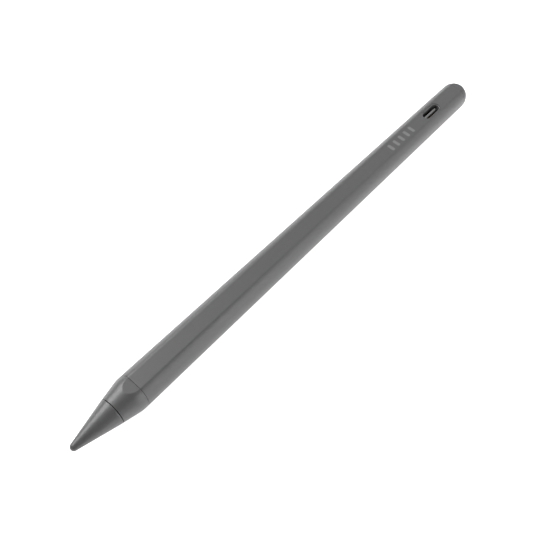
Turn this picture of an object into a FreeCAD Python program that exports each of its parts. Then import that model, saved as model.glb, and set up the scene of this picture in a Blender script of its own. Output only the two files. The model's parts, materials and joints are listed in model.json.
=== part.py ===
"""Active tablet stylus: a screw-on nib on a sprung force shaft, a conical nose, a round barrel with one flat,
a USB-C port let into that flat, and a domed end cap.

Every piece is drawn in the pen's own coordinates: x runs back from the tip of the nib, y runs across the flat
and z rises from the pen's centreline towards the flat. A last move puts the finished piece in the part's
frame, whose origin is under the middle of the pen, on the surface that the pen lies on.
"""
import FreeCAD, Part
import math
import os
import Sketcher

DIMENSIONS = (
    # alias, value, meaning
    ("overall_length", 166.0, "tip of the nib to the end of the dome"),
    ("barrel_radius", 4.45, "outside radius of the barrel"),
    ("flat_height", 4.0, "height of the flat above the centreline"),
    ("fit_gap", 0.01, "radial gap where pieces of one body are pressed together"),
    ("running_gap", 0.03, "radial gap where a shaft runs in a bore"),
    ("edge_break", 0.08, "chamfer on the rims at the seams"),
    ("seat_gap", 0.05, "gap at each end of a piece that sits in a seat"),
    ("rest_gap", 0.02, "gap between a piece and the surface that carries it"),
    ("cut_margin", 1.0, "how far a cut runs past the end of a solid"),

    ("nib_tip_radius", 0.95, "round end of the nib"),
    ("nib_rear_x", 11.11, "rear face of the nib"),
    ("nib_rear_radius", 3.42, "outside radius at the rear face of the nib"),
    ("nib_edge_rise", 0.02, "rise of the nib's side over the length of its rear chamfer"),
    ("nib_recess_x", 9.95, "floor of the recess for the seal"),
    ("nib_recess_radius", 1.85, "radius of the recess for the seal"),
    ("insert_front_x", 6.2, "front of the insert's seat"),
    ("insert_radius", 1.55, "radius of the insert's seat"),
    ("insert_groove_depth", 0.12, "depth of the insert's grip groove"),
    ("insert_groove_length", 0.8, "length of the insert's grip groove"),
    ("electrode_front_x", 2.2, "front end of the signal pin"),
    ("electrode_radius", 0.4, "radius of the signal pin"),
    ("electrode_head_radius", 0.9, "radius of the signal pin's head"),
    ("electrode_head_length", 0.22, "thickness of the signal pin's head"),
    ("seal_x", 10.3, "centre of the seal ring"),
    ("seal_radius", 1.42, "radius of the seal ring's centre line"),
    ("seal_section_radius", 0.3, "radius of the seal ring's section"),

    ("stud_front_x", 6.6, "front end of the threaded stud"),
    ("stud_radius", 1.0, "major radius of the M2 stud"),
    ("stud_chamfer", 0.2, "chamfer at the end of the stud"),
    ("shoulder_front_x", 10.7, "front face of the shaft's shoulder"),
    ("shoulder_rear_x", 11.9, "rear face of the shaft's shoulder"),
    ("shoulder_radius", 1.7, "radius of the shaft's shoulder"),
    ("shaft_radius", 1.25, "radius of the force shaft"),
    ("shaft_rear_x", 22.5, "rear end of the force shaft"),
    ("shaft_rear_chamfer", 0.3, "chamfer at the rear end of the force shaft"),
    ("clip_groove_x", 16.98, "front of the clip's groove"),
    ("clip_groove_width", 0.34, "width of the clip's groove"),
    ("clip_groove_radius", 0.95, "radius at the bottom of the clip's groove"),
    ("clip_thickness", 0.3, "thickness of the clip"),
    ("clip_radius", 2.2, "outside radius of the clip"),
    ("clip_mouth", 1.5, "width of the clip's mouth"),
    ("spring_front_x", 17.5, "front of the return spring"),
    ("spring_length", 3.7, "length of the return spring at rest"),
    ("spring_radius", 1.75, "mean radius of the return spring"),
    ("spring_wire_radius", 0.17, "radius of the return spring's wire"),
    ("spring_turns", 6.0, "turns of the return spring"),

    ("nose_front_x", 11.26, "front face of the nose"),
    ("nose_front_radius", 3.44, "outside radius at the front of the nose"),
    ("cone_rear_x", 15.95, "where the nose's cone reaches the barrel's radius"),
    ("nose_rear_x", 17.51, "rear of the visible nose"),
    ("runout_front_x", 14.0, "front end of the cut for the nose's flat"),
    ("runout_rise", 0.25, "rise of the nose's flat from its rear to the front of the cut"),
    ("nose_mouth_radius", 1.9, "radius of the opening for the shaft"),
    ("bush_seat_x", 12.4, "front of the bush's seat"),
    ("bush_seat_radius", 2.6, "radius of the bush's seat"),
    ("bush_rear_x", 16.93, "rear of the bush's seat"),
    ("spigot_rear_x", 24.0, "rear end of the nose's spigot"),
    ("spigot_radius", 3.7, "outside radius of the spigots inside the barrel"),
    ("spigot_flat_height", 3.25, "height of the spigots' flats"),
    ("spigot_bore_radius", 2.9, "bore of the nose's spigot"),
    ("bush_flange_length", 0.4, "length of the bush's front flange"),
    ("bush_radius", 2.3, "radius of the bush behind its flange"),
    ("tilt_ring_margin", 0.05, "gap at each end of the tilt ring"),

    ("carrier_front_x", 21.4, "front of the sensor's carrier"),
    ("carrier_wall", 0.6, "front wall of the sensor's carrier"),
    ("carrier_rear_x", 27.0, "rear of the sensor's carrier"),
    ("carrier_bore_radius", 1.4, "opening in the carrier for the shaft"),
    ("carrier_pocket_radius", 2.3, "pocket for the sensor"),
    ("pad_front_x", 22.55, "front of the thrust pad"),
    ("pad_length", 0.6, "thickness of the thrust pad"),
    ("pad_radius", 1.3, "radius of the thrust pad"),
    ("sensor_front_x", 23.2, "front of the force sensor"),
    ("sensor_length", 0.7, "thickness of the force sensor"),
    ("sensor_radius", 2.2, "radius of the force sensor"),
    ("backplate_front_x", 23.95, "front of the sensor's backplate"),
    ("backplate_rear_x", 26.9, "rear of the sensor's backplate"),
    ("backplate_notch_top", -1.4, "top of the notch for the ribbon"),
    ("backplate_notch_width", 2.4, "width of the notch for the ribbon"),

    ("seam_gap", 0.1, "gap between the nose and the barrel"),
    ("barrel_rear_x", 161.0, "rear end of the barrel"),
    ("cap_gap", 0.03, "gap between the barrel and the end cap"),
    ("bore_radius", 3.75, "radius of the barrel's bore"),
    ("bore_flat_height", 3.3, "height of the flat inside the barrel"),

    ("port_x", 144.3, "middle of the port"),
    ("port_slot_length", 9.1, "length of the barrel's slot for the port"),
    ("port_slot_width", 3.3, "width of the barrel's slot for the port"),
    ("port_slot_depth", 2.0, "depth of the cut for the port's slot"),
    ("port_slot_chamfer", 0.1, "chamfer round the port's slot"),
    ("shell_length", 8.94, "outside length of the port's shell"),
    ("shell_width", 3.16, "outside width of the port's shell"),
    ("shell_wall", 0.3, "wall of the port's shell"),
    ("shell_top", 3.85, "height of the port's mouth"),
    ("tongue_length", 6.69, "length of the port's tongue across the contacts"),
    ("tongue_thickness", 0.7, "thickness of the port's tongue"),
    ("tongue_top", 3.05, "height of the tongue's end"),
    ("tongue_foot_length", 8.2, "length of the tongue's foot"),
    ("tongue_foot_width", 2.4, "width of the tongue's foot"),
    ("tongue_foot_top", -1.2, "top of the tongue's foot"),
    ("contact_count", 12.0, "contacts on each side of the tongue"),
    ("contact_pitch", 0.5, "spacing of the contacts"),
    ("contact_width", 0.25, "width of a contact"),
    ("contact_thickness", 0.05, "thickness of a contact"),
    ("contact_bottom", -1.0, "lower end of the contacts"),
    ("contact_top", 2.6, "upper end of the contacts"),

    ("chassis_front_x", 24.2, "front of the chassis"),
    ("chassis_rear_x", 117.0, "rear of the chassis"),
    ("tray_radius", 3.68, "outside radius of the chassis and the cradle"),
    ("chassis_bore_radius", 3.2, "inside radius of the chassis"),
    ("chassis_edge_height", -0.65, "top edge of the chassis beside the board"),
    ("chassis_cell_x", 75.5, "front of the chassis's grip on the cell"),
    ("chassis_grip_height", 1.2, "top edge of the chassis beside the cell"),
    ("boss_radius", 1.1, "radius of the chassis's screw bosses"),
    ("boss_bottom", -3.3, "bottom of the screw bosses"),
    ("front_screw_x", 33.2, "position of the front screw"),
    ("rear_screw_x", 66.2, "position of the rear screw"),
    ("screw_radius", 0.55, "radius of a screw's shank"),
    ("screw_tip", -2.5, "height of a screw's tip"),
    ("screw_hole_bottom", -2.7, "bottom of the screw holes"),
    ("screw_head_radius", 0.95, "radius of a screw's head"),
    ("screw_head_height", 0.5, "height of a screw's head"),
    ("screw_slot_width", 0.3, "width of the slot in a screw's head"),
    ("screw_slot_depth", 0.25, "depth of the slot in a screw's head"),

    ("board_front_x", 29.0, "front end of the main board"),
    ("board_rear_x", 72.0, "rear end of the main board"),
    ("board_width", 6.0, "width of the main board"),
    ("board_thickness", 0.6, "thickness of the circuit boards"),

    ("cell_front_x", 76.0, "front end of the battery cell"),
    ("cell_length", 40.0, "length of the battery cell"),
    ("cell_radius", 3.0, "radius of the battery cell"),
    ("cell_axis_height", -0.1, "height of the cell's axis"),
    ("cell_crimp_x", 1.4, "distance from the cell's front to its crimp"),
    ("cell_crimp_width", 0.6, "width of the crimp"),
    ("cell_crimp_depth", 0.25, "depth of the crimp"),
    ("foam_length", 0.7, "thickness of a foam disc"),
    ("foam_radius", 2.8, "radius of a foam disc"),
    ("foam_hole_radius", 0.9, "radius of the hole in a foam disc"),
    ("foam_gap", 0.1, "gap between the cell and a foam disc"),
    ("cell_board_x", 73.9, "front face of the cell's protection board"),
    ("cell_board_width", 4.4, "width of the protection board"),
    ("cell_board_bottom", -2.2, "bottom of the protection board"),
    ("cell_board_top", 1.8, "top of the protection board"),
    ("lead_radius", 0.25, "radius of the battery's leads"),
    ("lead_side", 1.7, "distance of each lead from the middle"),
    ("lead_front_x", 70.3, "front end of the leads"),
    ("lead_rise_x", 71.9, "where the leads rise to the protection board"),
    ("lead_entry_height", 1.2, "height of the leads at the protection board"),
    ("lead_bend", 0.3, "bend radius of the leads"),

    ("ribbon_thickness", 0.12, "thickness of the flexible circuits"),
    ("ribbon_width", 1.8, "width of the flexible circuits"),
    ("ribbon_bend", 0.4, "bend radius of the flexible circuits"),
    ("sensor_ribbon_height", -1.9, "height of the sensor's ribbon behind the sensor"),
    ("sensor_ribbon_rise_x", 28.3, "where the sensor's ribbon rises to the main board"),
    ("connector_entry_height", 0.45, "height of the ribbon in its connector"),
    ("link_ribbon_front_x", 68.0, "front end of the link ribbon"),
    ("link_ribbon_rear_x", 119.8, "rear end of the link ribbon"),
    ("link_ribbon_rise", 0.9, "distance from the main board to the link ribbon's rise"),
    ("link_ribbon_clearance", 0.16, "height of the link ribbon's middle above the cell"),
    ("link_ribbon_drop", 0.75, "distance from the chassis to the link ribbon's drop"),

    ("magnet_length", 3.9, "length of a magnet"),
    ("magnet_count", 4.0, "magnets in a holder"),
    ("magnet_pitch", 3.98, "spacing of the magnets"),
    ("magnet_width", 2.6, "width of a magnet"),
    ("magnet_height", 1.5, "height of a magnet"),
    ("magnet_bottom", 1.65, "underside of the magnets"),
    ("holder_length", 17.0, "length of a magnet holder"),
    ("holder_width", 3.8, "width of a magnet holder"),
    ("holder_bottom", 1.25, "underside of a magnet holder"),
    ("holder_top", 3.1, "top of a magnet holder"),
    ("holder_pocket_length", 16.1, "length of a magnet holder's pocket"),
    ("holder_pocket_width", 2.7, "width of a magnet holder's pocket"),
    ("holder_leg_length", 1.0, "length of a magnet holder's leg"),
    ("holder_leg_width", 3.0, "width of a magnet holder's leg"),
    ("front_holder_x", 44.0, "front end of the front magnet holder"),
    ("rear_holder_x", 120.0, "front end of the rear magnet holder"),

    ("cradle_front_x", 118.2, "front of the rear cradle"),
    ("cradle_rear_x", 155.5, "rear of the rear cradle"),
    ("cradle_bore_radius", 3.4, "inside radius of the rear cradle"),
    ("cradle_edge_height", -1.2, "top edge of the rear cradle"),
    ("port_board_front_x", 118.6, "front end of the port's board"),
    ("port_board_rear_x", 155.2, "rear end of the port's board"),
    ("port_board_width", 3.2, "width of the port's board"),
    ("port_board_bottom", -2.95, "underside of the port's board"),
    ("port_board_top", -2.45, "top of the port's board"),

    ("cap_spigot_x", 156.0, "front end of the end cap's spigot"),
    ("cap_bore_radius", 3.2, "inside radius of the end cap"),
    ("cap_bore_x", 161.55, "where the bore of the end cap becomes a dome"),
    ("antenna_front_x", 157.5, "front of the antenna"),
    ("antenna_rear_x", 162.0, "rear of the antenna"),
    ("antenna_radius", 3.12, "outside radius of the antenna"),
    ("antenna_thickness", 0.12, "thickness of the antenna's strip"),
    ("antenna_mouth", 2.4, "width of the gap in the antenna"),
    ("spring_seat_x", 158.2, "front of the touch spring's seat"),
    ("spring_seat_length", 0.6, "thickness of the touch spring's seat"),
    ("spring_seat_radius", 2.9, "radius of the touch spring's seat"),
    ("spring_seat_hole_radius", 0.5, "radius of the hole in the touch spring's seat"),
    ("touch_spring_x", 159.0, "front of the touch spring"),
    ("touch_spring_length", 4.7, "length of the touch spring"),
    ("touch_spring_radius", 1.2, "mean radius of the touch spring"),
    ("touch_spring_wire_radius", 0.2, "radius of the touch spring's wire"),
    ("touch_spring_turns", 5.0, "turns of the touch spring"),
    ("touch_plate_x", 163.9, "front of the touch plate"),
    ("touch_plate_length", 0.2, "thickness of the touch plate"),
    ("touch_plate_radius", 1.8, "radius of the touch plate"),
)

# Components on the main board: name, front end, side, length, width, height, True where it is on top.
BOARD_COMPONENTS = (
    ("ribbon_connector", 29.5, -1.4, 2.0, 2.8, 0.9, True),
    ("controller_chip", 35.5, -2.0, 4.0, 4.0, 0.8, True),
    ("crystal", 40.6, -0.8, 2.0, 1.6, 0.5, True),
    ("drive_chip", 46.5, -1.5, 3.0, 3.0, 0.75, True),
    ("charger_chip", 62.0, -1.0, 2.0, 2.0, 0.6, True),
    ("boost_inductor", 36.0, -1.25, 2.5, 2.5, 1.2, False),
    ("motion_sensor", 47.0, -1.0, 2.0, 2.0, 0.9, False),
)
CAPACITOR_SIZE = (1.0, 0.5, 0.5)
CAPACITOR_ROWS = ((51.0, 1.3, 5), (51.0, -1.8, 5))
CAPACITOR_PITCH = 1.6


class Size:
    """A length that knows both its number and the sheet formula that gives it."""

    def __init__(self, value, formula):
        self.value = value
        self.formula = formula

    def __add__(self, other):
        other = as_size(other)
        return Size(self.value + other.value, f"({self.formula} + {other.formula})")

    def __sub__(self, other):
        other = as_size(other)
        return Size(self.value - other.value, f"({self.formula} - {other.formula})")

    def __mul__(self, factor):
        return Size(self.value * factor, f"({self.formula} * {factor})")

    def __truediv__(self, divisor):
        return Size(self.value / divisor, f"({self.formula} / {divisor})")

    def __neg__(self):
        return Size(-self.value, f"(-{self.formula})")


def as_size(length):
    """Return a plain number as a Size."""
    if isinstance(length, Size):
        return length
    return Size(float(length), f"{float(length)}")


class Sizes:
    """The sheet's cells, each as a Size with the cell's alias as its name."""

    def __init__(self):
        for alias, value, _meaning in DIMENSIONS:
            setattr(self, alias, Size(value, f"Dims.{alias}"))


ZERO = Size(0.0, "0")
TOUCH = 0.001
START, END, CENTRE = 1, 2, 3
ORIGIN_X, ORIGIN_Y = -1, -2

doc = FreeCAD.newDocument("stylus")
d = Sizes()


def fill_sheet():
    """Write every dimension into the sheet, with its alias and meaning."""
    sheet = doc.addObject("Spreadsheet::Sheet", "Dims")
    for row, (alias, value, meaning) in enumerate(DIMENSIONS, start=1):
        sheet.set(f"A{row}", str(value))
        sheet.setAlias(f"A{row}", alias)
        sheet.set(f"B{row}", meaning)
    doc.recompute()


# Placing

def bind(feature, name, size):
    """Tie one property of a feature to a formula."""
    feature.setExpression(name, as_size(size).formula)


def place(feature, x=ZERO, y=ZERO, z=ZERO):
    """Move a feature within the pen's own coordinates."""
    bind(feature, "Placement.Base.x", x)
    bind(feature, "Placement.Base.y", y)
    bind(feature, "Placement.Base.z", z)


def into_frame(feature, x=ZERO, y=ZERO, z=ZERO):
    """Move a finished sub-part from the pen's coordinates into the part's frame."""
    place(feature, as_size(x) - d.overall_length / 2, y, as_size(z) + d.barrel_radius)
    return feature


# Sketches

def new_sketch(body, plane, offset=ZERO):
    """Add a sketch on one of the body's own origin planes, moved along the plane's normal."""
    sketch = body.newObject("Sketcher::SketchObject", "Outline")
    face = next(item for item in body.Origin.OriginFeatures if item.Role == plane)
    sketch.AttachmentSupport = [(face, "")]
    sketch.MapMode = "FlatFace"
    bind(sketch, "AttachmentOffset.Base.z", offset)
    return sketch


def pin(sketch, geometry, end, x, y):
    """Fix a point of a sketch at x, y."""
    for kind, size, axis in (("DistanceX", x, ORIGIN_Y), ("DistanceY", y, ORIGIN_X)):
        size = as_size(size)
        if size.value == 0:
            sketch.addConstraint(Sketcher.Constraint("PointOnObject", geometry, end, axis))
        else:
            distance = Sketcher.Constraint(kind, ORIGIN_X, START, geometry, end, size.value)
            index = sketch.addConstraint(distance)
            sketch.setExpression(f"Constraints[{index}]", size.formula)


def fix_radius(sketch, geometry, radius):
    """Fix the radius of a circle or an arc."""
    index = sketch.addConstraint(Sketcher.Constraint("Radius", geometry, radius.value))
    sketch.setExpression(f"Constraints[{index}]", radius.formula)


def vector(x, y):
    """Return a sketch point from two sizes."""
    return FreeCAD.Vector(as_size(x).value, as_size(y).value, 0)


def draw_polygon(sketch, points):
    """Draw a closed outline of straight lines through the points."""
    first = sketch.GeometryCount
    count = len(points)
    for number in range(count):
        start = vector(*points[number])
        end = vector(*points[(number + 1) % count])
        sketch.addGeometry(Part.LineSegment(start, end), False)
    for number in range(count):
        following = first + (number + 1) % count
        sketch.addConstraint(Sketcher.Constraint("Coincident", first + number, END, following, START))
        pin(sketch, first + number, START, *points[number])


def draw_rectangle(sketch, x_low, x_high, y_low, y_high):
    """Draw a rectangle between two corners."""
    draw_polygon(sketch, [(x_low, y_low), (x_high, y_low), (x_high, y_high), (x_low, y_high)])


def draw_circle(sketch, radius, x=ZERO, y=ZERO):
    """Draw a circle round x, y."""
    circle = Part.Circle(vector(x, y), FreeCAD.Vector(0, 0, 1), radius.value)
    index = sketch.addGeometry(circle, False)
    pin(sketch, index, CENTRE, x, y)
    fix_radius(sketch, index, radius)


def draw_flatted_circle(sketch, radius, flat_height):
    """Draw a circle round the origin, cut off by a flat at the top."""
    half_width = math.sqrt(radius.value ** 2 - flat_height.value ** 2)
    left = math.atan2(flat_height.value, -half_width)
    right = math.atan2(flat_height.value, half_width)
    circle = Part.Circle(FreeCAD.Vector(0, 0, 0), FreeCAD.Vector(0, 0, 1), radius.value)
    arc = sketch.addGeometry(Part.ArcOfCircle(circle, left, right + 2 * math.pi), False)
    chord_start = FreeCAD.Vector(half_width, flat_height.value, 0)
    chord_end = FreeCAD.Vector(-half_width, flat_height.value, 0)
    chord = sketch.addGeometry(Part.LineSegment(chord_start, chord_end), False)
    sketch.addConstraint(Sketcher.Constraint("Coincident", arc, CENTRE, ORIGIN_X, START))
    sketch.addConstraint(Sketcher.Constraint("Coincident", arc, END, chord, START))
    sketch.addConstraint(Sketcher.Constraint("Coincident", chord, END, arc, START))
    sketch.addConstraint(Sketcher.Constraint("Horizontal", chord))
    fix_radius(sketch, arc, radius)
    height = sketch.addConstraint(
        Sketcher.Constraint("DistanceY", ORIGIN_X, START, chord, START, flat_height.value))
    sketch.setExpression(f"Constraints[{height}]", flat_height.formula)


def draw_slot(sketch, middle, length, width):
    """Draw a slot with round ends along the sketch's x, round a point on that axis."""
    reach = (length - width) / 2
    radius = width / 2
    up = FreeCAD.Vector(0, 0, 1)
    right_circle = Part.Circle(vector(middle + reach, 0), up, radius.value)
    left_circle = Part.Circle(vector(middle - reach, 0), up, radius.value)
    right_arc = sketch.addGeometry(Part.ArcOfCircle(right_circle, -math.pi / 2, math.pi / 2), False)
    left_arc = sketch.addGeometry(Part.ArcOfCircle(left_circle, math.pi / 2, 3 * math.pi / 2), False)
    top_line = Part.LineSegment(vector(middle + reach, radius), vector(middle - reach, radius))
    bottom_line = Part.LineSegment(vector(middle - reach, -radius), vector(middle + reach, -radius))
    top = sketch.addGeometry(top_line, False)
    bottom = sketch.addGeometry(bottom_line, False)
    joints = ((right_arc, END, top, START), (top, END, left_arc, START),
              (left_arc, END, bottom, START), (bottom, END, right_arc, START))
    for joint in joints:
        sketch.addConstraint(Sketcher.Constraint("Tangent", *joint))
    sketch.addConstraint(Sketcher.Constraint("Equal", right_arc, left_arc))
    pin(sketch, right_arc, CENTRE, middle + reach, ZERO)
    pin(sketch, left_arc, CENTRE, middle - reach, ZERO)
    fix_radius(sketch, right_arc, radius)


# Features of a body

def new_body(label):
    """Add an empty body that carries a sub-part's name."""
    body = doc.addObject("PartDesign::Body", "Body")
    body.Label = label
    return body


def revolve(body, sketch):
    """Turn a sketch about the pen's axis."""
    feature = body.newObject("PartDesign::Revolution", "Turned")
    feature.Profile = sketch
    feature.ReferenceAxis = (sketch, ["H_Axis"])
    feature.Angle = 360
    return feature


def pad(body, sketch, length):
    """Raise a sketch along its normal."""
    feature = body.newObject("PartDesign::Pad", "Pad")
    feature.Profile = sketch
    bind(feature, "Length", length)
    return feature


def pocket(body, sketch, depth):
    """Cut a sketch into the solid against its normal, and make sure that it cuts."""
    doc.recompute()
    before = body.Shape.Volume
    feature = body.newObject("PartDesign::Pocket", "Pocket")
    feature.Profile = sketch
    bind(feature, "Length", depth)
    doc.recompute()
    if body.Shape.Volume >= before:
        raise RuntimeError(f"{body.Label}: a pocket cuts nothing")
    return feature


def chamfer(body, size, wanted):
    """Break the edges of the finished solid that a test picks out."""
    doc.recompute()
    base = body.Tip
    names = [f"Edge{number}" for number, edge in enumerate(base.Shape.Edges, start=1) if wanted(edge)]
    if not names:
        raise RuntimeError(f"{body.Label}: no edge to chamfer")
    feature = body.newObject("PartDesign::Chamfer", "EdgeBreak")
    feature.Base = (base, names)
    bind(feature, "Size", size)
    return feature


def turned(label, points):
    """Build a sub-part that is one turned solid, from its outline of x and radius."""
    body = new_body(label)
    sketch = new_sketch(body, "XZ_Plane")
    draw_polygon(sketch, points)
    revolve(body, sketch)
    return into_frame(body)


def cut_top(body, x_low, x_high, height):
    """Cut away everything above a height, from x_low to x_high."""
    sketch = new_sketch(body, "XY_Plane", d.barrel_radius)
    draw_rectangle(sketch, x_low, x_high, -d.barrel_radius, d.barrel_radius)
    pocket(body, sketch, d.barrel_radius - height)


# Nib

def build_nib():
    """Moulded cone with a round tip, a seat for the insert and a recess for the seal."""
    body = new_body("nib")
    sketch = new_sketch(body, "XZ_Plane")
    tip = d.nib_tip_radius
    rise = math.atan2(d.nib_rear_radius.value, d.nib_rear_x.value - tip.value)
    reach = math.hypot(d.nib_rear_radius.value, d.nib_rear_x.value - tip.value)
    touch = rise + math.acos(tip.value / reach)
    circle = Part.Circle(vector(tip, 0), FreeCAD.Vector(0, 0, 1), tip.value)
    arc = sketch.addGeometry(Part.ArcOfCircle(circle, touch, math.pi), False)
    edge = d.edge_break
    path = [
        (d.nib_rear_x - edge, d.nib_rear_radius - d.nib_edge_rise),
        (d.nib_rear_x, d.nib_rear_radius - edge),
        (d.nib_rear_x, d.nib_recess_radius),
        (d.nib_recess_x, d.nib_recess_radius),
        (d.nib_recess_x, d.insert_radius),
        (d.insert_front_x, d.insert_radius),
        (d.insert_front_x, d.electrode_radius + d.fit_gap),
        (d.electrode_front_x, d.electrode_radius + d.fit_gap),
        (d.electrode_front_x, ZERO),
        (ZERO, ZERO),
    ]
    touch_point = vector(tip, 0) + FreeCAD.Vector(math.cos(touch), math.sin(touch), 0) * tip.value
    corners = [touch_point] + [vector(*point) for point in path]
    first = sketch.GeometryCount
    for start, end in zip(corners, corners[1:]):
        sketch.addGeometry(Part.LineSegment(start, end), False)
    last = sketch.GeometryCount - 1
    sketch.addConstraint(Sketcher.Constraint("Tangent", arc, START, first, START))
    for number, point in enumerate(path[:-1]):
        joined = Sketcher.Constraint("Coincident", first + number, END, first + number + 1, START)
        sketch.addConstraint(joined)
        pin(sketch, first + number + 1, START, *point)
    sketch.addConstraint(Sketcher.Constraint("Coincident", last, END, ORIGIN_X, START))
    sketch.addConstraint(Sketcher.Constraint("Coincident", arc, END, ORIGIN_X, START))
    sketch.addConstraint(Sketcher.Constraint("PointOnObject", arc, CENTRE, ORIGIN_X))
    fix_radius(sketch, arc, tip)
    revolve(body, sketch)
    return into_frame(body)


def build_nib_insert():
    """Brass insert with the thread for the shaft and a grip groove outside."""
    front = d.insert_front_x + d.seat_gap
    rear = d.nib_recess_x - d.seat_gap
    outer = d.insert_radius - d.fit_gap
    groove_front = (front + rear) / 2 - d.insert_groove_length / 2
    groove_rear = groove_front + d.insert_groove_length
    bore = d.stud_radius + d.running_gap
    return turned("nib_insert", [
        (front, bore), (front, outer),
        (groove_front, outer), (groove_front, outer - d.insert_groove_depth),
        (groove_rear, outer - d.insert_groove_depth), (groove_rear, outer),
        (rear, outer), (rear, bore)])


def build_nib_electrode():
    """Signal pin with a flat head that meets the shaft."""
    head_front = d.insert_front_x + d.seat_gap + d.rest_gap
    head_rear = head_front + d.electrode_head_length
    front = d.electrode_front_x + d.seat_gap
    return turned("nib_electrode", [
        (front, ZERO), (front, d.electrode_radius), (head_front, d.electrode_radius),
        (head_front, d.electrode_head_radius), (head_rear, d.electrode_head_radius), (head_rear, ZERO)])


def build_nib_seal():
    """Rubber ring between the nib and the shaft's shoulder."""
    body = new_body("nib_seal")
    sketch = new_sketch(body, "XZ_Plane")
    draw_circle(sketch, d.seal_section_radius, d.seal_x, d.seal_radius)
    revolve(body, sketch)
    return into_frame(body)


# Force shaft and sensor

def build_force_shaft():
    """Shaft with a stud for the nib, a shoulder and a groove for the clip."""
    groove_rear = d.clip_groove_x + d.clip_groove_width
    return turned("force_shaft", [
        (d.stud_front_x, ZERO), (d.stud_front_x, d.stud_radius - d.stud_chamfer),
        (d.stud_front_x + d.stud_chamfer, d.stud_radius),
        (d.shoulder_front_x, d.stud_radius), (d.shoulder_front_x, d.shoulder_radius),
        (d.shoulder_rear_x, d.shoulder_radius), (d.shoulder_rear_x, d.shaft_radius),
        (d.clip_groove_x, d.shaft_radius), (d.clip_groove_x, d.clip_groove_radius),
        (groove_rear, d.clip_groove_radius), (groove_rear, d.shaft_radius),
        (d.shaft_rear_x - d.shaft_rear_chamfer, d.shaft_radius),
        (d.shaft_rear_x, d.shaft_radius - d.shaft_rear_chamfer), (d.shaft_rear_x, ZERO)])


def build_ring_with_mouth(label, front, length, inner, outer, mouth):
    """Ring across the pen's axis with an opening at its underside."""
    body = new_body(label)
    sketch = new_sketch(body, "YZ_Plane", front)
    draw_circle(sketch, outer)
    draw_circle(sketch, inner)
    pad(body, sketch, length)
    opening = new_sketch(body, "YZ_Plane", front + length)
    draw_rectangle(opening, -mouth / 2, mouth / 2, -outer - d.cut_margin, ZERO)
    pocket(body, opening, length)
    return into_frame(body)


def build_shaft_clip():
    """Retaining clip in the shaft's groove."""
    front = d.clip_groove_x + (d.clip_groove_width - d.clip_thickness) / 2
    inner = d.clip_groove_radius + d.fit_gap
    return build_ring_with_mouth("shaft_clip", front, d.clip_thickness, inner, d.clip_radius, d.clip_mouth)


def build_spring(label, front, length, radius, wire_radius, turns):
    """Coil spring along the pen's axis."""
    helix = doc.addObject("Part::Helix", "Coil")
    bind(helix, "Radius", radius)
    bind(helix, "Height", length - wire_radius * 2)
    helix.setExpression("Pitch", f"({length.formula} - 2 * {wire_radius.formula}) / {turns.formula}")
    along_x = FreeCAD.Rotation(FreeCAD.Vector(0, 1, 0), 90)
    helix.Placement = FreeCAD.Placement(FreeCAD.Vector(0, 0, 0), along_x)
    bind(helix, "Placement.Base.x", front + wire_radius)
    wire = doc.addObject("Part::Circle", "Wire")
    bind(wire, "Radius", wire_radius)
    across = FreeCAD.Rotation(FreeCAD.Vector(1, 0, 0), 90)
    wire.Placement = FreeCAD.Placement(FreeCAD.Vector(0, 0, 0), across)
    bind(wire, "Placement.Base.x", front + wire_radius)
    bind(wire, "Placement.Base.z", -radius)
    sweep = doc.addObject("Part::Sweep", "Spring")
    sweep.Sections = [wire]
    sweep.Spine = (helix, [])
    sweep.Solid = True
    sweep.Frenet = True
    sweep.Label = label
    return into_frame(sweep)


def build_guide_bush():
    """Flanged plain bush for the shaft."""
    bore = d.shaft_radius + d.running_gap
    flange_rear = d.bush_seat_x + d.bush_flange_length
    flange_radius = d.bush_seat_radius - d.fit_gap
    return turned("guide_bush", [
        (d.bush_seat_x, bore), (d.bush_seat_x, flange_radius), (flange_rear, flange_radius),
        (flange_rear, d.bush_radius), (d.bush_rear_x, d.bush_radius), (d.bush_rear_x, bore)])


def build_tilt_ring():
    """Metal ring round the bush that senses the pen's tilt."""
    front = d.bush_seat_x + d.bush_flange_length + d.tilt_ring_margin
    rear = d.bush_rear_x - d.tilt_ring_margin
    inner = d.bush_radius + d.fit_gap
    outer = d.bush_seat_radius - d.fit_gap
    return turned("tilt_ring", [(front, inner), (front, outer), (rear, outer), (rear, inner)])


def build_disc(label, front, length, radius):
    """Plain disc across the pen's axis."""
    rear = front + length
    return turned(label, [(front, ZERO), (front, radius), (rear, radius), (rear, ZERO)])


def build_sensor_carrier():
    """Cup that holds the force sensor behind the shaft."""
    pocket_front = d.carrier_front_x + d.carrier_wall
    outer = d.spigot_bore_radius - d.fit_gap
    return turned("sensor_carrier", [
        (d.carrier_front_x, d.carrier_bore_radius), (d.carrier_front_x, outer), (d.carrier_rear_x, outer),
        (d.carrier_rear_x, d.carrier_pocket_radius), (pocket_front, d.carrier_pocket_radius),
        (pocket_front, d.carrier_bore_radius)])


def build_sensor_backplate():
    """Plug behind the force sensor, with a notch for its ribbon."""
    body = new_body("sensor_backplate")
    sketch = new_sketch(body, "YZ_Plane", d.backplate_front_x)
    draw_circle(sketch, d.carrier_pocket_radius - d.fit_gap)
    length = d.backplate_rear_x - d.backplate_front_x
    pad(body, sketch, length)
    notch = new_sketch(body, "YZ_Plane", d.backplate_rear_x)
    half = d.backplate_notch_width / 2
    draw_rectangle(notch, -half, half, -d.carrier_pocket_radius, d.backplate_notch_top)
    pocket(body, notch, length)
    return into_frame(body)


# Casings

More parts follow.
